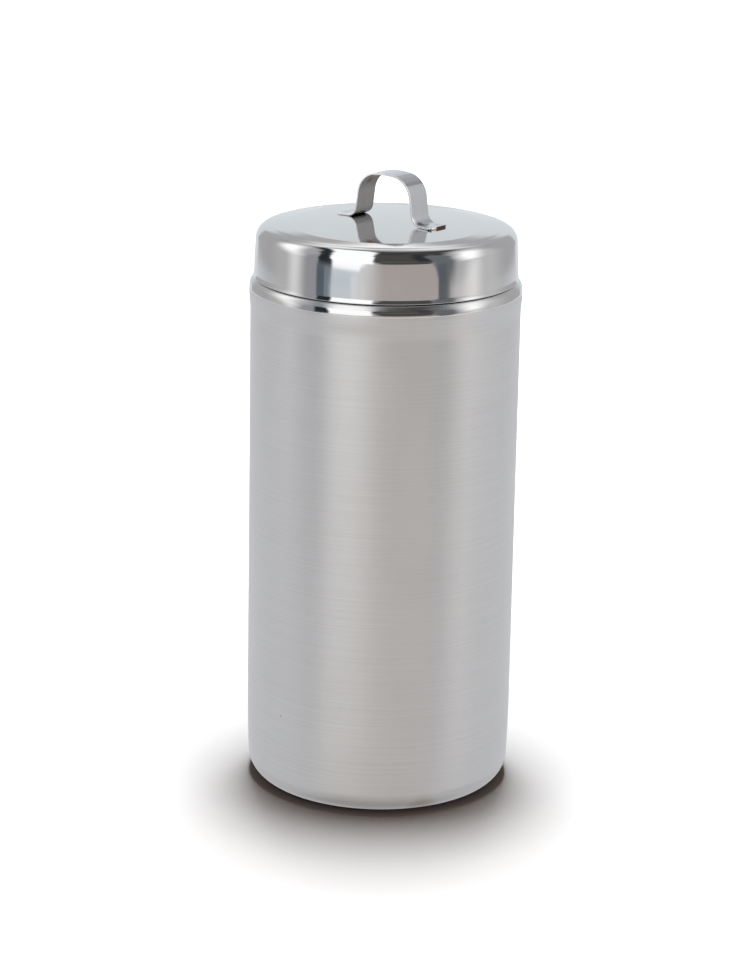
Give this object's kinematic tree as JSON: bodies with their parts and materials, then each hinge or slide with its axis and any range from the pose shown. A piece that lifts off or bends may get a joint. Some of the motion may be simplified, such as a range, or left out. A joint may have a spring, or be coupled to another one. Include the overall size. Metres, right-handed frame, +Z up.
{
  "type": "sundry jar",
  "caption": "Tall cylindrical stainless steel storage jar with a necked mouth and a slip-over lid lifted by a strap handle.",
  "frame": {"origin": "centre of the base underside, on the surface the jar stands on", "axes": "+Z up along the jar's axis, X along the arch of the handle, Y through the handle's finger gap"},
  "size_m": [0.109, 0.109, 0.2512],
  "materials": {
    "body_steel": "satin stainless steel brushed around the wall, with a polished shoulder",
    "lid_steel": "mirror-polished stainless steel",
    "strap_steel": "smooth stainless steel strap with sheared edges"
  },
  "bodies": {
    "jar": {"jar_body": "body_steel"},
    "lid": {"lid_shell": "lid_steel", "strap_handle": "strap_steel"}
  },
  "joints": [
    {"name": "lid_lift", "type": "slide", "parent": "jar", "child": "lid", "axis": [0, 0, 1], "range_m": [0, 0.05]}
  ]
}
